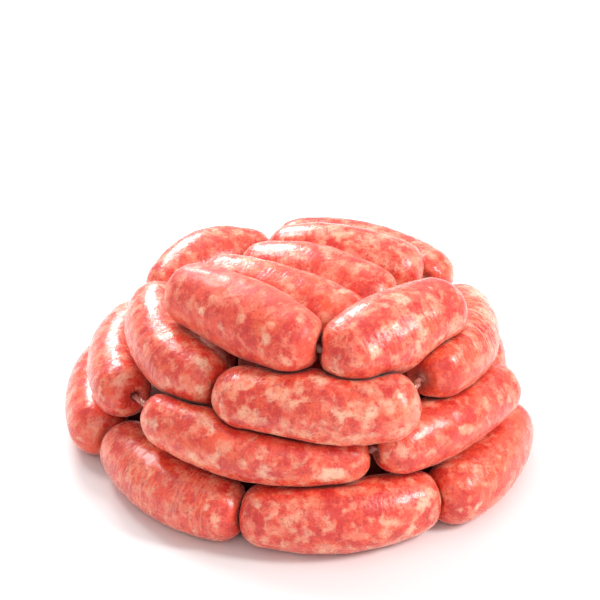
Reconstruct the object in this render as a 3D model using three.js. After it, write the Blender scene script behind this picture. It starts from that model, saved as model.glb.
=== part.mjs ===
// A string of fresh pork sausage links, coiled up into a heap as it lies ready to be weighed out.
// One casing runs through all thirty-one links: after each link it is twisted into a thin neck, which leads
// to the next. The string starts inside the heap, goes round in three rising courses and ends on the crown.
// Millimetres, +Z up. The origin is on the surface the heap lies on, under the middle of its box, and the
// front of the heap is at -Y.
import * as THREE from "three";

// Driving sizes
const GIRTH = 36; // across an ordinary link
const LENGTH = 102; // from end to end of an ordinary link, along its middle line
const NECK = 4.2; // across the twisted casing where it leaves a link
const NARROWING = 0.35; // how much thinner it is at its other end, as a share
const DIMPLE = 2.2; // how deep the neck sits in the puckered end of a link
const PULL = 1; // how far an end leans towards a link that lies right beside it, as a slope
const CLEARANCE = 0.7; // left between two links that press on each other
const SOFTNESS = 3; // over how many millimetres a pressed flat rounds into the free skin
const TAPER = 0.07; // how much slimmer a link is at its shoulders than at its middle
const BLUNTNESS = 0.05; // how far an end bulges past a half ball, as a share of the radius
const UNEVENNESS = 0.022; // how far the skin waves in and out, as a share of the radius

// The courses of the heap: each is a ring round the heap's axis. A course that goes round with way 1
// runs anticlockwise seen from above, and one with way -1 clockwise.
const HEAP_AXIS = { x: 0, y: -10 };
const COURSES = {
  bottom: { reach: 108, lift: 16.5, way: 1 },
  second: { reach: 99, lift: 48, way: -1 },
  third: { reach: 82, lift: 74, way: -1 },
};

// How finely a link is divided: links that show, links at the back, and links inside the heap.
const FINE = { sides: 12, body: 9, cap: 4, neck: 3 };
const PLAIN = { sides: 12, body: 6, cap: 3, neck: 3 };
const COARSE = { sides: 10, body: 5, cap: 3, neck: 3 };

const radians = THREE.MathUtils.degToRad;
const up = new THREE.Vector3(0, 0, 1);

// A link is described by the middle of its curved line (x, y, z), the heading and tilt of the line there,
// its length and girth, how many degrees the line bends from end to end, and towards which side it bows:
// 0 is level, to the right of the heading, 90 is up and 180 is level, to the left.
function link(name, x, y, z, heading, how = {}) {
  const described = { length: LENGTH, girth: GIRTH, bend: 10, bow: 90, tilt: 0, grade: FINE };
  return Object.assign(described, { name, x, y, z, heading }, how);
}

// A link of a course, by the angle round the heap at which its middle lies. It may lie further out or
// higher than its course, and turned a little from the course's own line, which it bends with.
function ringLink(name, course, angle, { out = 0, rise = 0, turn = 0, ...how } = {}) {
  const { reach, lift, way } = COURSES[course];
  const distance = reach + out;
  const x = HEAP_AXIS.x + distance * Math.cos(radians(angle));
  const y = HEAP_AXIS.y + distance * Math.sin(radians(angle));
  const bend = THREE.MathUtils.radToDeg(((how.length ?? LENGTH) - GIRTH) / distance);
  const bow = way > 0 ? 0 : 180;
  return link(name, x, y, lift + rise, angle + 90 * way + turn, { bend, bow, ...how });
}

// The string, link by link, in the order in which the casing runs through it.
const STRING = [
  // Four links side by side on the surface, inside the bottom course.
  link("core_1", 0, -62, 16.5, 0, { length: 94, grade: COARSE }),
  link("core_2", 0, -27, 16.5, 180, { length: 104, grade: COARSE }),
  link("core_3", 0, 8, 16.5, 0, { length: 104, grade: COARSE }),
  link("core_4", 0, 43, 16.5, 180, { length: 94, grade: COARSE }),
  // The bottom course, from the left, round the front, and on behind.
  ringLink("bottom_left", "bottom", 172, { out: 8, turn: 6 }),
  ringLink("bottom_front_left", "bottom", 226.7, { out: -5, turn: -3, length: 106 }),
  ringLink("bottom_front", "bottom", 281.6, { out: -1.5, rise: 1, turn: -3, length: 109, girth: 38 }),
  ringLink("bottom_right", "bottom", 331.6, { out: 6, turn: 1, length: 100 }),
  ringLink("bottom_back_right", "bottom", 23, { length: 92, grade: PLAIN }),
  ringLink("bottom_back", "bottom", 71.5, { length: 92, grade: PLAIN }),
  ringLink("bottom_back_left", "bottom", 119.5, { length: 90, grade: PLAIN }),
  // Four links side by side on the first four, crossing them.
  link("core_5", -50, -8, 54, -90, { length: 92, girth: 37, grade: COARSE }),
  link("core_6", -17, -12, 54, 90, { length: 102, girth: 37, grade: COARSE }),
  link("core_7", 17, -12, 54, -90, { length: 102, girth: 37, grade: COARSE }),
  link("core_8", 49, -12, 54, 90, { length: 90, girth: 37, grade: COARSE }),
  // The second course, from the right, round the front, and on behind.
  ringLink("second_back_right", "second", 15, { out: -2, length: 83, girth: 34, grade: PLAIN }),
  ringLink("second_right", "second", 321.4, {
    out: 1.5, rise: 1, turn: -6, tilt: 1, length: 105, girth: 34, bend: 16,
  }),
  ringLink("second_front", "second", 254.2, { out: -3, rise: 2, tilt: 3.2, length: 126, girth: 32.5 }),
  ringLink("second_left", "second", 179, { out: 1, length: 96, girth: 34 }),
  ringLink("second_back_left", "second", 124, { length: 88, girth: 34, grade: PLAIN }),
  ringLink("second_back", "second", 73, { length: 88, girth: 34, grade: PLAIN, via: [62, 38, 55] }),
  // The third course, from the right, round the front, and on behind.
  ringLink("third_right", "third", 342, { out: 8, rise: 1.5, turn: 4, tilt: 7, length: 105, girth: 39 }),
  ringLink("third_front", "third", 274.6, {
    out: 9, rise: 0.5, turn: -15, tilt: -4, length: 108, girth: 39, bend: 20,
  }),
  ringLink("third_left", "third", 203.5, { out: -4, turn: -2, tilt: 3.5, length: 103 }),
  ringLink("third_back_left", "third", 131, { rise: 2.5, length: 88, bend: 50, bow: 140 }),
  ringLink("third_back", "third", 61.5, { out: 4, length: 116, girth: 35 }),
  // The crown: three links side by side, then the two that meet at the front.
  link("crown_back", 25, 33.5, 89, 161, { length: 93, girth: 35, bend: 22 }),
  link("crown_middle", 9, 1, 91.5, -29, { length: 98, girth: 38, bend: 18, tilt: 2 }),
  link("crown_front", -9, -30, 96.5, 150, { length: 101, bend: 14, tilt: 2 }),
  link("crown_left", -29, -62.5, 105, -43, { length: 102, girth: 39 }),
  link("crown_right", 46.8, -72.5, 101.8, 41, { length: 92, girth: 42, tilt: 2 }),
];

// The middle line of a link: an arc through its middle that turns evenly from end to end.
function middleLine(spec) {
  const core = spec.length - spec.girth;
  const along = new THREE.Vector3(
    Math.cos(radians(spec.tilt)) * Math.cos(radians(spec.heading)),
    Math.cos(radians(spec.tilt)) * Math.sin(radians(spec.heading)),
    Math.sin(radians(spec.tilt)),
  );
  const right = new THREE.Vector3().crossVectors(along, up).normalize();
  const above = new THREE.Vector3().crossVectors(right, along);
  const bow = new THREE.Vector3()
    .addScaledVector(right, Math.cos(radians(spec.bow)))
    .addScaledVector(above, Math.sin(radians(spec.bow)));
  const middle = new THREE.Vector3(spec.x, spec.y, spec.z);
  const bend = Math.max(radians(spec.bend), 1e-4);
  const arcRadius = core / bend;
  // The place share is -1 at the start of the line, 0 at its middle and 1 at its end.
  return (share) => {
    const turned = (share * bend) / 2;
    return {
      at: middle
        .clone()
        .addScaledVector(along, arcRadius * Math.sin(turned))
        .addScaledVector(bow, arcRadius * (Math.cos(turned) - 1)),
      along: along.clone().multiplyScalar(Math.cos(turned)).addScaledVector(bow, -Math.sin(turned)),
      out: bow.clone().multiplyScalar(Math.cos(turned)).addScaledVector(along, Math.sin(turned)),
    };
  };
}

// The radius of a link round its middle line, before its neighbours press on it.
function bodyRadius(spec, share) {
  return (spec.girth / 2) * (1 - TAPER * share * share);
}

// A link's middle line as short steps with a radius each, for measuring how far a point is from it.
const LINE_STEPS = 16;
function measured(spec, index) {
  const line = middleLine(spec);
  const steps = Array.from({ length: LINE_STEPS + 1 }, (_, i) => {
    const share = (2 * i) / LINE_STEPS - 1;
    return { at: line(share).at, radius: bodyRadius(spec, share) };
  });
  return { ...spec, index, line, steps };
}

// How far a point is outside a link's free skin. It is negative inside.
const nearest = new THREE.Vector3();
const step = new THREE.Line3();
function outside(point, body) {
  let least = Infinity;
  for (let i = 0; i < LINE_STEPS; i++) {
    const from = body.steps[i];
    const to = body.steps[i + 1];
    step.set(from.at, to.at);
    const share = step.closestPointToPointParameter(point, true);
    step.at(share, nearest);
    const radius = from.radius + share * (to.radius - from.radius);
    least = Math.min(least, nearest.distanceTo(point) - radius);
  }
  return least;
}

// The smaller of two lengths, rounded where they are nearly alike.
function softMin(a, b) {
  const overlap = Math.max(SOFTNESS - Math.abs(a - b), 0) / SOFTNESS;
  return Math.min(a, b) - (overlap * overlap * SOFTNESS) / 4;
}

// How far the skin of a link lies along a ray from its middle line: out to its free skin, or only to where
// a neighbour presses on it, midway between the two, or to the surface that the heap lies on.
const HALVINGS = 18;
function skinAlong(ray, freeLength, body, neighbours) {
  const furthest = freeLength + SOFTNESS;
  const point = new THREE.Vector3();
  let length = freeLength;
  for (const other of neighbours) {
    const tooFar = (distance) => {
      point.copy(ray.direction).multiplyScalar(distance).add(ray.origin);
      return outside(point, body) + CLEARANCE > outside(point, other);
    };
    if (!tooFar(furthest)) continue;
    let near = 0;
    let far = furthest;
    for (let i = 0; i < HALVINGS; i++) {
      const halfway = (near + far) / 2;
      if (tooFar(halfway)) far = halfway;
      else near = halfway;
    }
    length = softMin(length, near);
  }
  if (ray.direction.z < 0) length = Math.min(length, ray.origin.z / -ray.direction.z);
  return Math.max(length, NECK / 2);
}

// The free skin's gentle waves, different on each link.
function waves(body, share, angle) {
  const own = body.index * 2.4;
  return 1 + UNEVENNESS * (Math.sin(3.1 * share + own) + 0.6 * Math.cos(2 * angle + own + share));
}

// One ring of points round a link, on rays that lean from straight out towards the end of the link. At an
// end they are also drawn sideways, towards the neck.
function ring(body, neighbours, share, lean, pull = new THREE.Vector3()) {
  const { at, along, out } = body.line(share);
  const across = new THREE.Vector3().crossVectors(along, out);
  const { sides } = body.grade;
  const blunt = 1 + BLUNTNESS * Math.sin(2 * Math.abs(lean)) ** 2;
  return Array.from({ length: sides }, (_, i) => {
    const angle = ((i + 0.5) / sides) * 2 * Math.PI;
    const direction = new THREE.Vector3()
      .addScaledVector(out, Math.cos(angle) * Math.cos(lean))
      .addScaledVector(across, Math.sin(angle) * Math.cos(lean))
      .addScaledVector(along, Math.sin(lean))
      .addScaledVector(pull, Math.sin(lean) ** 2)
      .normalize();
    const free = bodyRadius(body, share) * blunt * waves(body, share, angle);
    const ray = new THREE.Ray(at, direction);
    return ray.at(skinAlong(ray, free, body, neighbours), new THREE.Vector3());
  });
}

// A small ring round a line, such as round the neck.
function smallRing(at, along, radius, sides, reference) {
  const first = reference.clone().projectOnPlane(along).normalize();
  const second = new THREE.Vector3().crossVectors(along, first);
  return Array.from({ length: sides }, (_, i) => {
    const angle = ((i + 0.5) / sides) * 2 * Math.PI;
    return at
      .clone()
      .addScaledVector(first, radius * Math.cos(angle))
      .addScaledVector(second, radius * Math.sin(angle));
  });
}

// One end of a link: how far it is drawn sideways towards the link that its neck joins it to, and the bottom
// of the dimple where the neck starts.
function end(body, neighbours, side) {
  const { at, along, out } = body.line(side);
  const direction = along.clone().multiplyScalar(side);
  const pull = new THREE.Vector3();
  const joined = bodies[body.index + side];
  if (joined) {
    pull.subVectors(joined.line(-side).at, at).setLength(PULL).projectOnPlane(along);
    direction.add(pull).normalize();
  }
  const ray = new THREE.Ray(at, direction);
  const length = skinAlong(ray, bodyRadius(body, side), body, neighbours) - DIMPLE;
  return { at: ray.at(length, new THREE.Vector3()), direction, out, pull };
}

// The neck from the end of one link to the start of the next: it leaves both dimples straight and may pass
// through a given point on its way.
const NECK_GAP = 0.5; // left between the neck and the link that it reaches
function neckLine(from, to, via) {
  const start = from.at;
  const stop = to.at.clone().addScaledVector(to.direction, NECK_GAP);
  if (via) {
    const out = start.clone().addScaledVector(from.direction, DIMPLE);
    const back = stop.clone().addScaledVector(to.direction, DIMPLE);
    const points = [start, out, new THREE.Vector3(...via), back, stop];
    return new THREE.CatmullRomCurve3(points, false, "centripetal");
  }
  const across = new THREE.Vector3().subVectors(stop, start);
  // The more an end faces away from the other, the wider the neck swings there.
  const swing = (facing) => Math.max(0.8 * across.length() - 0.45 * facing, 1.5 * DIMPLE);
  return new THREE.CubicBezierCurve3(
    start,
    start.clone().addScaledVector(from.direction, swing(across.dot(from.direction))),
    stop.clone().addScaledVector(to.direction, swing(-across.dot(to.direction))),
    stop,
  );
}

// A closed mesh through rings of points, with a flat fan over the first ring and over the last.
function skinOver(rings) {
  const sides = rings[0].length;
  const corners = rings.flat().flatMap((p) => [p.x, p.y, p.z]);
  const faces = [];
  for (let i = 0; i + 1 < rings.length; i++) {
    for (let j = 0; j < sides; j++) {
      const a = i * sides + j;
      const b = i * sides + ((j + 1) % sides);
      faces.push(a, b, b + sides, a, b + sides, a + sides);
    }
  }
  const last = (rings.length - 1) * sides;
  for (let j = 1; j + 1 < sides; j++) {
    faces.push(0, j + 1, j);
    faces.push(last, last + j, last + j + 1);
  }
  const geometry = new THREE.BufferGeometry();
  geometry.setAttribute("position", new THREE.Float32BufferAttribute(corners, 3));
  geometry.setIndex(faces);
  geometry.computeVertexNormals();
  return geometry;
}

// The leans of a cap's rings, from the shoulder to the edge of the dimple.
const DIMPLE_EDGE = radians(64);
function capLeans(count) {
  return Array.from({ length: count }, (_, i) => (DIMPLE_EDGE * (i + 1)) / count);
}

// A link's skin from its first end to its last, and on over the neck that trails from it.
function linkGeometry(body) {
  const { sides, body: bodyRings, cap, neck } = body.grade;
  const neighbours = neighboursOf(body);
  const { first, last } = ends[body.index];
  const rings = [smallRing(first.at, first.direction.clone().negate(), NECK / 2, sides, first.out)];
  for (const lean of capLeans(cap).reverse()) rings.push(ring(body, neighbours, -1, -lean, first.pull));
  for (let i = 0; i < bodyRings; i++) {
    rings.push(ring(body, neighbours, (2 * i) / (bodyRings - 1) - 1, 0));
  }
  for (const lean of capLeans(cap)) rings.push(ring(body, neighbours, 1, lean, last.pull));
  rings.push(smallRing(last.at, last.direction, NECK / 2, sides, last.out));
  const next = ends[body.index + 1];
  if (next) {
    const line = neckLine(last, next.first, body.via);
    const steps = body.via ? 3 * neck : neck;
    for (let i = 1; i <= steps; i++) {
      const share = i / steps;
      const radius = (NECK / 2) * (1 - NARROWING * share);
      rings.push(smallRing(line.getPoint(share), line.getTangent(share), radius, sides, last.out));
    }
  }
  return skinOver(rings);
}

// Raw pork sausage seen through its casing: pink lean with pale fat, moist and shiny.
function meatMaterial() {
  return new THREE.MeshStandardMaterial({ color: 0xd9706a, roughness: 0.35, metalness: 0 });
}

const bodies = STRING.map(measured);

// The links that come close enough to press on a link.
function neighboursOf(body) {
  const centreOf = (one) => one.steps[LINE_STEPS / 2].at;
  return bodies.filter((other) => {
    const far = (other.length + body.length) / 2 + SOFTNESS;
    return other !== body && centreOf(other).distanceTo(centreOf(body)) < far;
  });
}

const ends = bodies.map((body) => {
  const neighbours = neighboursOf(body);
  return { first: end(body, neighbours, -1), last: end(body, neighbours, 1) };
});
const heap = new THREE.Group();
heap.name = "sausage_string";
for (const body of bodies) {
  const mesh = new THREE.Mesh(linkGeometry(body), meatMaterial());
  mesh.name = body.name;
  heap.add(mesh);
}

// The middle of the heap's box comes over the origin.
const boxMiddle = new THREE.Box3().setFromObject(heap).getCenter(new THREE.Vector3());
heap.position.set(-boxMiddle.x, -boxMiddle.y, 0);

export default heap;
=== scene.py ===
"""A string of fresh pork sausage links, heaped as it lies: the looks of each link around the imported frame."""
import math

import bmesh
import bpy
import numpy as np
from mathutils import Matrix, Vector
from mathutils.bvhtree import BVHTree


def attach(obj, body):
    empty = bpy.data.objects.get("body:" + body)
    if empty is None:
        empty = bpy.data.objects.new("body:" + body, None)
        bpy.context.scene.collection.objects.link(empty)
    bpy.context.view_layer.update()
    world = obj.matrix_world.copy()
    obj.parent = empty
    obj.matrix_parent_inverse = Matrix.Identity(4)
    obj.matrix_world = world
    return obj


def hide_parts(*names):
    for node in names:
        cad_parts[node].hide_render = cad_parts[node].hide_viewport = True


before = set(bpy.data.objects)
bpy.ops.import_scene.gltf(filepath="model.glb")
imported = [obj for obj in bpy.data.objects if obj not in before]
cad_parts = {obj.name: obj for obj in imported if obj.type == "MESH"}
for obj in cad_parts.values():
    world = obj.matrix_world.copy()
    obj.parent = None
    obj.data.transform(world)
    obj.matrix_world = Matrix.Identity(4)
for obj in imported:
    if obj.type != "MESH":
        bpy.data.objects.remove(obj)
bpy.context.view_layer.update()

# Camera.
# It looks down on the front of the heap from about a metre away, a third of the way to straight down,
# through a long lens that keeps the links at the back nearly as large as those at the front.
CAMERA_AT = (0.0022, -0.8285, 0.5446)
CAMERA_PITCH = math.radians(29.01)
FOCAL_LENGTH = 105
SENSOR_WIDTH = 36
lens = bpy.data.cameras.new("camera")
lens.lens = FOCAL_LENGTH
lens.sensor_width = SENSOR_WIDTH
camera = bpy.data.objects.new("camera", lens)
camera.location = CAMERA_AT
camera.rotation_euler = (math.pi / 2 - CAMERA_PITCH, 0, 0)
bpy.context.scene.collection.objects.link(camera)
bpy.context.scene.camera = camera

# The links inside the heap.
# Eight plump links of minced pork in a natural casing, four on the surface and four across them, laid first.
# The casing is filled, then twisted into a thin rope between one link and the next; the meat is pressed
# flat where links lie on each other, and the casing is gathered into small pleats round each twist.
MM = 0.001
FULL_TURN = 2 * math.pi
WELD = 0.01 * MM  # corners closer than this are one
INNER_EDGES = 6  # edges that meet at each corner of a link, except at the rims of its two end caps
NECK_WIDTH = 3 * MM  # a ring narrower than this belongs to the neck
QUAD_FOLD = math.radians(120)  # how sharply two triangles may meet, and still be joined into a quad
QUAD_SKEW = math.radians(179)  # how far that quad may be from square
GRID_PULL = 1.2  # how strongly the pairing of triangles prefers a regular grid
FITTINGS = 3  # rounds in which the smooth skin is brought back onto the frame's corners


def end_rings(bm):
    """The two rings of corners that close a link: that of its puckered end, then that of its neck's tip."""
    loose = {v for v in bm.verts if len(v.link_edges) != INNER_EDGES}
    rings = []
    while loose:
        ring = [min(loose, key=lambda v: v.index)]
        for corner in ring:
            loose.discard(corner)
            near = {e.other_vert(corner) for e in corner.link_edges} & loose
            loose -= near
            ring += sorted(near, key=lambda v: v.index)
        rings.append(ring)
    return sorted(rings, key=lambda ring: -spread(ring))


def centre_of(ring):
    """The middle of a ring of corners."""
    return sum((v.co for v in ring), Vector()) / len(ring)


def spread(ring):
    """The mean radius of a ring of corners."""
    centre = centre_of(ring)
    return sum((v.co - centre).length for v in ring) / len(ring)


def rings_of(bm):
    """Every ring of corners of a link, from its puckered end to the tip of its neck."""
    rings = []
    seen = set()
    ring = end_rings(bm)[0]
    while ring:
        rings.append(ring)
        seen.update(ring)
        beyond = {e.other_vert(v) for v in ring for e in v.link_edges} - seen
        ring = sorted(beyond, key=lambda v: v.index)
    return rings


def mark_flow(bm):
    """Writes on each corner how far along the link it is, where round it, and whether it is on the neck."""
    along = bm.verts.layers.float.new("along")
    round_x = bm.verts.layers.float.new("round_x")
    round_y = bm.verts.layers.float.new("round_y")
    neck = bm.verts.layers.float.new("neck")
    rings = rings_of(bm)
    centres = [centre_of(ring) for ring in rings]
    widths = [spread(ring) for ring in rings]
    widest = widths.index(max(widths))
    first = Vector((0, 0, 1))
    gone = 0
    for i, ring in enumerate(rings):
        here = max(1, min(i, len(rings) - 2))
        tangent = (centres[here + 1] - centres[here - 1]).normalized()
        first = (first - tangent * first.dot(tangent)).normalized()
        second = tangent.cross(first)
        if i:
            gone += (centres[i] - centres[i - 1]).dot(tangent)
        for v in ring:
            arm = v.co - centres[i]
            out = Vector((arm.dot(first), arm.dot(second))).normalized()
            v[along] = gone
            v[round_x] = out.x
            v[round_y] = out.y
            v[neck] = float(i > widest and widths[i] < NECK_WIDTH)
    return rings


def points_of(mesh):
    """The corners of a mesh as an array, one row each."""
    points = np.empty(len(mesh.vertices) * 3, np.float32)
    mesh.vertices.foreach_get("co", points)
    return points.reshape(-1, 3)


def normals_of(mesh):
    """The outward direction at each corner of a mesh."""
    normals = np.empty(len(mesh.vertices) * 3, np.float32)
    mesh.vertex_normals.foreach_get("vector", normals)
    return normals.reshape(-1, 3)


def marked(mesh, name):
    """Reads back the numbers that are written on a mesh's corners."""
    values = np.empty(len(mesh.vertices), np.float32)
    mesh.attributes[name].data.foreach_get("value", values)
    return values


def mark(mesh, name, values):
    """Writes one number on every corner of a mesh, for its material to read."""
    layer = mesh.attributes.new(name, "FLOAT", "POINT")
    layer.data.foreach_set("value", np.broadcast_to(np.float32(values), len(mesh.vertices)).copy())


def evaluated(piece):
    """The piece as its modifiers leave it."""
    return piece.evaluated_get(bpy.context.evaluated_depsgraph_get())


def smooth_skin(name, levels):
    """A smooth copy of a link's skin that passes through the frame's corners, with its flow marked on it."""
    bm = bmesh.new()
    bm.from_mesh(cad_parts[name].data)
    bmesh.ops.remove_doubles(bm, verts=bm.verts, dist=WELD)
    rings = mark_flow(bm)
    neck = bm.verts.layers.float["neck"]
    poles = [centre_of(rings[0])]
    poles += [centre_of(ring) for ring in rings if ring[0][neck]][:1]
    bmesh.ops.join_triangles(
        bm,
        faces=bm.faces,
        angle_face_threshold=QUAD_FOLD,
        angle_shape_threshold=QUAD_SKEW,
        topology_influence=GRID_PULL,
    )
    cage = bpy.data.meshes.new(name + "_cage")
    bm.to_mesh(cage)
    bm.free()
    piece = bpy.data.objects.new(name + "_link", cage)
    bpy.context.scene.collection.objects.link(piece)
    finer = piece.modifiers.new("smooth", "SUBSURF")
    finer.levels = levels
    finer.render_levels = levels
    corners = points_of(cage)
    cage_points = corners.copy()
    for _ in range(FITTINGS):
        cage_points += corners - points_of(evaluated(piece).data)[: len(corners)]
        cage.vertices.foreach_set("co", cage_points.ravel())
        cage.update()
        bpy.context.view_layer.update()
    skin = bpy.data.meshes.new_from_object(evaluated(piece))
    piece.modifiers.clear()
    piece.data = skin
    bpy.data.meshes.remove(cage)
    skin.shade_smooth()
    return piece, poles


GAP = 0.7 * MM  # left between two links that press on each other
CREVICE = 0.85 * MM  # how much wider a gap is where the painted shade along it fades
CREVICE_REACH = GAP + 3 * CREVICE  # past this a neighbour no longer matters


def surface_of(node):
    """A link of the frame for measuring distances from it, with the low and high corner of its box."""
    tree = BVHTree.FromPolygons([v.co for v in node.data.vertices], [p.vertices for p in node.data.polygons])
    at = points_of(node.data)
    return tree, at.min(0), at.max(0)


surfaces = {name: surface_of(node) for name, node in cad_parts.items()}


def crevice_shade_at(at, name):
    """How close each point of a link is to the next link or to the floor, 1 where they all but touch: where
    shade is painted.
    """
    free = np.minimum(at[:, 2] + GAP, CREVICE_REACH)
    for other, (tree, low, high) in surfaces.items():
        if other == name:
            continue
        near = np.flatnonzero(((at > low - CREVICE_REACH) & (at < high + CREVICE_REACH)).all(1))
        for i in near:
            distance = tree.find_nearest(Vector(at[i]), CREVICE_REACH)[3]
            if distance is not None and distance < free[i]:
                free[i] = distance
    return np.exp(-((np.maximum(free - GAP, 0) / CREVICE) ** 2))


WAVES = 28
WAVE_SPREAD = (0.7, 1.4)  # how many of the longest and of the shortest waves fit in the size asked for
LUMP_PEAK = 1.6  # about how high the waves add up


def lumps(at, size, seed):
    """A smooth random field about as coarse as size, mostly between -1 and 1, at an array of points."""
    draw = np.random.default_rng(seed)
    heading = draw.normal(size=(WAVES, 3))
    heading /= np.linalg.norm(heading, axis=1, keepdims=True)
    turns = draw.uniform(*WAVE_SPREAD, (WAVES, 1)) * FULL_TURN / size
    phase = draw.uniform(0, FULL_TURN, WAVES)
    return np.sin(at @ (heading * turns).T + phase).sum(1) / math.sqrt(WAVES / 2) / LUMP_PEAK


COARSE_LUMP = (11 * MM, 0.16 * MM)  # size and height of the swells that the mince makes under the casing
FINE_LUMP = (3.2 * MM, 0.04 * MM)
PLEATS = 11
PLEAT_DEPTH = 0.42 * MM
PLEAT_AT = 3.4 * MM  # how far from the twist the pleats are deepest
PLEAT_REACH = 4.2 * MM
PLEAT_CREST = 0.7  # how much of a pleat's depth lies under the smooth skin
PLEAT_WANDER = (14 * MM, 1.3)  # how slowly, and by how many radians, the pleats stray to the side
GATHER_REACH = 9 * MM  # how far from the twist the casing still looks gathered
TWIST_PITCH = 5.2 * MM
TWIST_DEPTH = 0.34 * MM
TWIST_STRANDS = 2
CREASE_PITCH = 3.1 * MM  # from one cross crease to the next where the casing is slack
CREASE_DEPTH = 0.09 * MM
CREASE_WANDER = (8 * MM, 0.35)  # how slowly, and by what part of a pitch, the creases stray
SLACK_PATCH = 45 * MM  # size of the areas in which a link's casing is slacker than elsewhere
SLACK_SHARE = 0.6  # how much of its slackness a link has on the whole; the areas add to it or take it away


def shape(piece, poles, seed, slack):
    """Gives a smooth link its swells, pleats, twisted neck and, where the casing is slack, cross creases."""
    mesh = piece.data
    at = points_of(mesh)
    out = normals_of(mesh)
    along = marked(mesh, "along")
    angle = np.arctan2(marked(mesh, "round_y"), marked(mesh, "round_x"))
    neck = np.clip(marked(mesh, "neck"), 0, 1)
    gathered = neck.copy()
    size, height = COARSE_LUMP
    push = height * lumps(at, size, seed)
    size, height = FINE_LUMP
    push += height * lumps(at, size, seed + 1)
    for i, pole in enumerate(poles):
        away = np.linalg.norm(at - np.array(pole), axis=1)
        depth = PLEAT_DEPTH * np.exp(-(((away - PLEAT_AT) / PLEAT_REACH) ** 2))
        size, stray = PLEAT_WANDER
        folds = np.abs(np.sin(PLEATS * angle / 2 + stray * lumps(at, size, seed + 2 + i)))
        push += depth * (folds - PLEAT_CREST)
        gathered = np.maximum(gathered, np.exp(-((away / GATHER_REACH) ** 2)))
    patches = slack * np.clip(SLACK_SHARE + lumps(at, SLACK_PATCH, seed + 4), 0, 1)
    size, stray = CREASE_WANDER
    crease = along / CREASE_PITCH + stray * lumps(at, size, seed + 5)
    push += CREASE_DEPTH * patches * np.cos(FULL_TURN * crease)
    push *= 1 - neck
    push += neck * TWIST_DEPTH * np.cos(TWIST_STRANDS * angle - FULL_TURN * along / TWIST_PITCH)
    at += out * push[:, None]
    at[:, 2] = np.maximum(at[:, 2], 0)
    mesh.vertices.foreach_set("co", at.ravel())
    mesh.update()
    # painted shade: the link is marked to be darker where it all but touches another link or the floor
    mark(mesh, "crevice_shade", crevice_shade_at(at, piece.name.removesuffix("_link")))
    mark(mesh, "gathered", gathered)
    mark(mesh, "slack", patches)


class Wire:
    """A value or a colour on its way through a material: sums written on it add the material's nodes."""

    def __init__(self, tree, socket=None):
        self.tree = tree
        self.socket = socket

    def node(self, kind, settings=None, inputs=None, output=0):
        """Adds a node of that kind: its settings first, then a value or a link for each of its sockets."""
        made = self.tree.nodes.new("ShaderNode" + kind)
        for name, value in (settings or {}).items():
            setattr(made, name, value)
        for name, value in (inputs or {}).items():
            if isinstance(value, Wire):
                self.tree.links.new(value.socket, made.inputs[name])
            else:
                made.inputs[name].default_value = value
        return Wire(self.tree, made.outputs[output])

    def sum(self, operation, *values):
        """Adds one step of arithmetic."""
        return self.node("Math", {"operation": operation}, dict(enumerate(values)))

    def __add__(self, other):
        return self.sum("ADD", self, other)

    def __sub__(self, other):
        return self.sum("SUBTRACT", self, other)

    def __rsub__(self, other):
        return self.sum("SUBTRACT", other, self)

    def __mul__(self, other):
        return self.sum("MULTIPLY", self, other)

    __radd__ = __add__
    __rmul__ = __mul__

    def size(self):
        """The value without its sign."""
        return self.sum("ABSOLUTE", self)

    def limited(self):
        """The value kept between 0 and 1."""
        return self.node("Clamp", None, {"Value": self})

    def between(self, none, full):
        """0 where the value is at none or beyond it, 1 at full or beyond it, and an even S between them."""
        ends = {"Value": self, "From Min": none, "From Max": full}
        return self.node("MapRange", {"interpolation_type": "SMOOTHSTEP"}, ends)

    def painted(self, over, colour, cover=1.0):
        """The colour laid over another one as this value says: where that is 1, as thickly as cover."""
        return self.node("Mix", {"data_type": "RGBA"}, {0: self * cover, 6: over, 7: colour}, 2)

    def moved(self, step):
        """These places moved by a step."""
        return self.node("VectorMath", {"operation": "ADD"}, {0: self, 1: step})

    def stretched(self, factors):
        """These places scaled along each axis."""
        return self.node("VectorMath", {"operation": "MULTIPLY"}, {0: self, 1: factors})

    def noise(self, size, detail=2.0, roughness=0.5, output="Fac", swirl=0.0):
        """A cloudy pattern of about that size at these places."""
        how = {"Vector": self, "Scale": 1 / size, "Detail": detail, "Roughness": roughness}
        return self.node("TexNoise", None, how | {"Distortion": swirl}, output)

    def mark(self, name):
        """A number that is written on the corners of the link."""
        return self.node("Attribute", {"attribute_name": name}, None, "Fac")


LEAN = (0.84, 0.089, 0.051, 1)
DARK_LEAN = (0.64, 0.034, 0.027, 1)
RUDDY_LEAN = (0.82, 0.115, 0.03, 1)
PINK = (0.89, 0.235, 0.142, 1)
FAT = (0.93, 0.46, 0.3, 1)
SUET = (0.94, 0.54, 0.37, 1)
VEIN = (0.4, 0.03, 0.026, 1)
CASING = (0.42, 0.16, 0.12, 1)
# painted shade: the dark colour laid in crevices and over links that little light reaches
PAINTED_SHADE = (0.13, 0.015, 0.012, 1)
CHUNK = 5 * MM  # sizes of what shows in the meat and the casing
CHUNK_WANDER = 4 * MM
BROAD = 18 * MM
CLOUD = 7 * MM
BLOT = 6 * MM
GRAIN = 1.7 * MM
CRINKLE = 1.3 * MM
CRINKLE_ROUND = 2.5 * MM  # radius at which the crinkles run round a link: small, so that they are long
RUDDY_PATCH = 24 * MM
VEIN_BEND = 8 * MM
VEIN_PATCH = 13 * MM
SPECK = 1.4 * MM
RELIEF = 0.35 * MM
BLEED = 2.5 * MM  # how far light seeps through the meat
DRY_ROUGHNESS = 0.54  # of the casing where nothing wets it
WETTING = 0.4  # how much smoother a wet casing is than a dry one
WET_COAT = 0.25  # how much gloss the moisture lays over a link, and over a neck
NECK_COAT = 0.6


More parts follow.
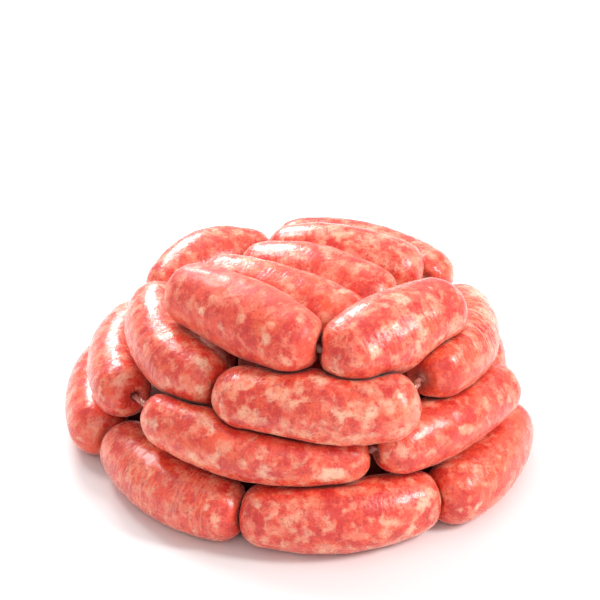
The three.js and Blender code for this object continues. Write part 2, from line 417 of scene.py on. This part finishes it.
def minced_meat(name, sheen):
    """Raw minced pork behind a moist, clear casing: mottled lean, soft flecks of fat, and a wet gloss."""
    made = bpy.data.materials.new(name)
    made.use_nodes = True
    tree = made.node_tree
    paint = Wire(tree)
    place = paint.node("TexCoord", None, None, "Object")
    wander = place.noise(CHUNK_WANDER, detail=3, roughness=0.6, output="Color").moved((-0.5,) * 3)
    warped = place.moved(wander.stretched((CHUNK_WANDER,) * 3))
    chunks = {"Vector": warped, "Scale": 1 / CHUNK, "Smoothness": 0.8, "Randomness": 1.0}
    chunk = paint.node("TexVoronoi", {"feature": "SMOOTH_F1"}, chunks, "Color")
    chunk_lot = paint.node("SeparateColor", None, {"Color": chunk}, 0)
    broad = warped.noise(BROAD, detail=3)
    cloudy = place.noise(CLOUD, detail=5, roughness=0.6, swirl=0.2)
    blots = warped.noise(BLOT, detail=3, swirl=0.2)
    grain = place.noise(GRAIN, detail=3, roughness=0.65)
    fatty = paint.mark("fatty")
    slack = paint.mark("slack")
    gathered = paint.mark("gathered")
    wet = paint.mark("wet")
    crevice_shade = paint.mark("crevice_shade")
    shaded = paint.mark("shaded")
    neck = paint.mark("neck").limited()
    flow = {"X": paint.mark("round_x") * CRINKLE_ROUND, "Y": paint.mark("round_y") * CRINKLE_ROUND}
    crinkle = paint.node("CombineXYZ", None, flow | {"Z": paint.mark("along")}).noise(CRINKLE)

    ruddy = (place.noise(RUDDY_PATCH).between(0.45, 0.62) * 0.5 + paint.mark("ruddy")).limited()
    meat = ruddy.painted(LEAN, RUDDY_LEAN)
    dark = (broad * 0.3 + cloudy * 0.5 + grain * 0.2).between(0.54, 0.42)
    meat = dark.painted(meat, DARK_LEAN, cover=0.9)
    pinkness = (chunk_lot * 0.25 + cloudy * 0.6 + grain * 0.25).between(0.5, 0.7)
    meat = pinkness.painted(meat, PINK, cover=0.85)
    flecks = (blots * 0.85 + chunk_lot * 0.15 + fatty * 0.06).between(0.5, 0.72)
    meat = flecks.painted(meat, FAT, cover=0.75)
    patches = (broad * 0.6 + blots * 0.2 + cloudy * 0.15 + fatty * 0.08).between(0.5, 0.66)
    meat = patches.painted(meat, FAT, cover=0.75)
    suet = (paint.mark("suet") * 0.3 + blots * 0.6 + cloudy * 0.25 + grain * 0.1).between(0.58, 0.82)
    meat = suet.painted(meat, SUET, cover=0.85)
    # painted highlight: paler lines along the cross creases where the casing is slack
    folds = crinkle.between(0.5, 0.62) * slack
    meat = folds.painted(meat, FAT, cover=0.38)
    ridge = (warped.noise(VEIN_BEND, detail=3, roughness=0.7) - 0.5).size().between(0.028, 0.0)
    veins = ridge * place.noise(VEIN_PATCH, detail=1).between(0.46, 0.62)
    meat = veins.painted(meat, VEIN, cover=0.45)
    specks = place.noise(SPECK, roughness=0.6).between(0.56, 0.68)
    meat = specks.painted(meat, VEIN, cover=0.55)
    meat = gathered.painted(meat, DARK_LEAN, cover=0.45)
    meat = neck.painted(meat, CASING, cover=0.9)
    # painted shade in the crevices between links and along the floor
    meat = crevice_shade.painted(meat, PAINTED_SHADE, cover=0.8)
    # painted shade: links that little light reaches are darkened
    meat = shaded.painted(meat, PAINTED_SHADE, cover=0.85)

    relief = grain * 1.1 + cloudy * 0.8 + crinkle * (slack * 2.4 + gathered * 1.2 + 0.5)
    bump = paint.node("Bump", None, {"Height": relief, "Strength": 0.65, "Distance": RELIEF})
    dull = crevice_shade * 0.3 + shaded * 0.4
    rough = grain * 0.25 - wet * WETTING + dull + DRY_ROUGHNESS
    gloss = wet * (1 - crevice_shade) * WET_COAT + neck * NECK_COAT

    shader = tree.nodes["Principled BSDF"]
    even = {
        "IOR": 1.5,
        "Subsurface Weight": 0.35,
        "Subsurface Radius": (1.0, 0.25, 0.15),
        "Subsurface Scale": BLEED,
        "Coat Roughness": 0.12,
        "Coat IOR": 1.45,
        "Sheen Weight": sheen,
        "Sheen Roughness": 0.3,
        "Sheen Tint": (1.0, 0.85, 0.75, 1),
    }
    for socket, value in even.items():
        shader.inputs[socket].default_value = value
    uneven = {"Base Color": meat, "Roughness": rough, "Coat Weight": gloss, "Normal": bump}
    for socket, value in uneven.items():
        tree.links.new(value.socket, shader.inputs[socket])
    return made


CASING_SHEEN = 0.25
raw_sausage = minced_meat("raw_sausage", sheen=CASING_SHEEN)
# a copy of the meat without sheen, for links inside the heap that little light reaches: painted shade
unlit_sausage = minced_meat("unlit_sausage", sheen=0.0)
HIDDEN = 2  # how often a link's skin is divided where it lies inside the heap
SHOWN = 3
SEED = 11
SEEDS = 10**6  # each link draws a seed of its own, below this
lot = np.random.default_rng(SEED)


def link(name, levels=SHOWN, fatty=0.0, ruddy=0.0, slack=0.15, wet=1.0, shaded=0.0, suet=()):
    """Finishes one link of the frame: its meat may be fattier or ruddier, its casing slacker or less wet.

    shaded darkens a link that little light reaches. suet lists the large white pieces of fat that show
    through the casing: where each lies, and how far it reaches, in millimetres.
    """
    piece, poles = smooth_skin(name, levels)
    shape(piece, poles, int(lot.integers(1, SEEDS)), slack)
    at = points_of(piece.data) / MM
    white = np.zeros(len(at))
    for x, y, z, reach in suet:
        white += np.exp(-((np.linalg.norm(at - (x, y, z), axis=1) / reach) ** 2))
    traits = {"suet": white, "fatty": fatty, "ruddy": ruddy, "wet": wet, "shaded": shaded}
    for trait, value in traits.items():
        mark(piece.data, trait, value)
    piece.data.materials.clear()
    piece.data.materials.append(unlit_sausage if shaded else raw_sausage)
    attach(piece, "root")
    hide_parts(name)


# painted shade: the inner links are darkened, the lowest four most
for number in (1, 2, 3, 4):
    link(f"core_{number}", HIDDEN, wet=0.0, shaded=1.0)
for number in (5, 6, 7, 8):
    link(f"core_{number}", HIDDEN, wet=0.3, shaded=0.7)

# The bottom course.
# Seven links laid round the first four, on the surface that the heap lies on. They are pressed flat beneath
# and bulge outwards a little under the weight of the rest.
link("bottom_left", fatty=-0.5, ruddy=0.1, slack=0.3)
link("bottom_front_left", fatty=-0.5, slack=0.9, suet=[(-45, -109, 26, 3), (-40, -113, 17, 3)])
link("bottom_front", fatty=0.1, suet=[(64, -105, 28, 6), (58, -112, 14, 5), (-19, -112, 31, 4)])
link("bottom_right", fatty=-0.6, ruddy=0.3, suet=[(85, -98, 16, 3), (93, -94, 16, 3), (92, -84, 32, 4)])
link("bottom_back_right")
link("bottom_back")
link("bottom_back_left")

# The second course.
# Six links on top of the bottom course, each across the joint between two of the lower ones. The longest
# lies at the front, and the one at the left was filled a little less tightly.
link("second_back_right")
link("second_right", fatty=-0.2, slack=0.3, suet=[(53, -102, 54, 6), (63, -91, 62, 4)])
link(
    "second_front",
    fatty=-0.1,
    suet=[(16, -111, 46, 6), (21, -110, 47, 5), (-15, -111, 50, 6), (-73, -81, 57, 5), (-42, -95, 64, 3)],
)
link("second_left", slack=0.6)
link("second_back_left")
link("second_back")

# The third course.
# Five links that lean inwards on the second course. The one at the right has slack casing with fine cross
# creases, and the one at the front shows the most fat.
link("third_right", fatty=-1.4, ruddy=0.5, slack=1.7, suet=[(98, 2, 90, 12), (103, -25, 88, 12)])
link(
    "third_front",
    fatty=0.45,
    suet=[(21, -110, 83, 5), (37, -110, 84, 6), (39, -112, 72, 4), (-10, -105, 68, 4), (55, -108, 73, 5)],
)
link("third_left", slack=0.8, suet=[(-47, -68, 87, 4), (-49, -76, 77, 3)])
link("third_back_left", slack=0.3)
link("third_back")

# The crown.
# Three links side by side and two more across them that meet at the front, tip to tip, with the string's
# last twist between them.
link("crown_back", fatty=0.4)
link("crown_middle", ruddy=0.3, fatty=0.1)
link("crown_front", ruddy=0.2, suet=[(26, -34, 109, 5)])
link(
    "crown_left",
    fatty=-0.8,
    ruddy=0.1,
    slack=0.3,
    wet=0.4,
    suet=[(-47, -58, 111, 3), (-37, -69, 108, 4), (-15, -86, 111, 4)],
)
link(
    "crown_right",
    fatty=-0.1,
    slack=0.3,
    suet=[(51, -65, 122, 7), (60, -76, 113, 7), (39, -94, 108, 5), (19, -96, 99, 5)],
)

# Floor and light.
# A wide white floor, a white room, and soft lamps: two behind at the left and one at the right, for the
# highlights on the wet casings, a wide one overhead for pale upper edges, and a weak one in front.
FLOOR_RADIUS = 30  # metres, past every edge of the view
FLOOR_SIDES = 64
floor_mesh = bpy.data.meshes.new("floor")
bm = bmesh.new()
bmesh.ops.create_circle(bm, cap_ends=True, segments=FLOOR_SIDES, radius=FLOOR_RADIUS)
bm.to_mesh(floor_mesh)
bm.free()
floor = bpy.data.objects.new("floor", floor_mesh)
bpy.context.scene.collection.objects.link(floor)
FLOOR_WHITE = (0.88, 0.88, 0.88, 1)
# painted shadow: the dark colour laid on the floor under the heap
PAINTED_SHADOW = (0.12, 0.03, 0.025, 1)
PAINTED_SHADOW_REACH = 104 * MM  # the floor is darkened with a painted shadow as far as this under the heap, out of sight
PAINTED_SHADOW_EDGE = 8 * MM


def floor_with_painted_shadow():
    """White all round, with a dark painted shadow under the heap."""
    made = bpy.data.materials.new("floor_white")
    made.use_nodes = True
    paint = Wire(made.node_tree)
    place = paint.node("TexCoord", None, None, "Object")
    reach = paint.node("VectorMath", {"operation": "LENGTH"}, {0: place}, 1)
    # painted shadow: a dark disc on the floor under the heap
    colour = reach.between(PAINTED_SHADOW_REACH, PAINTED_SHADOW_REACH - PAINTED_SHADOW_EDGE).painted(FLOOR_WHITE, PAINTED_SHADOW)
    shader = made.node_tree.nodes["Principled BSDF"]
    shader.inputs["Roughness"].default_value = 0.9
    made.node_tree.links.new(colour.socket, shader.inputs["Base Color"])
    return made


floor_mesh.materials.append(floor_with_painted_shadow())

ROOM_LIGHT = 0.72
world = bpy.data.worlds.new("studio")
world.use_nodes = True
world.node_tree.nodes["Background"].inputs["Color"].default_value = (1, 1, 1, 1)
world.node_tree.nodes["Background"].inputs["Strength"].default_value = ROOM_LIGHT
bpy.context.scene.world = world
bpy.context.scene.view_settings.view_transform = "Standard"

HEAP_MIDDLE = Vector((0, 0, 0.06))


def soft_box(name, at, size, watts):
    """A rectangular soft lamp that faces the heap."""
    data = bpy.data.lights.new(name, "AREA")
    data.shape = "RECTANGLE"
    data.size, data.size_y = size
    data.energy = watts
    lamp = bpy.data.objects.new(name, data)
    lamp.location = at
    lamp.rotation_euler = (HEAP_MIDDLE - Vector(at)).to_track_quat("-Z", "Y").to_euler()
    bpy.context.scene.collection.objects.link(lamp)


soft_box("back_left", at=(-0.32, 0.8, 0.6), size=(0.26, 0.24), watts=6.5)
soft_box("high_left", at=(-0.52, 0.47, 0.78), size=(0.25, 0.15), watts=3)
soft_box("right", at=(0.71, -0.3, 0.62), size=(0.18, 0.34), watts=5.5)
soft_box("overhead", at=(0, 0.75, 1.3), size=(1.6, 0.9), watts=4)
soft_box("front", at=(-0.1, -1.3, 1.0), size=(1.0, 0.8), watts=2)
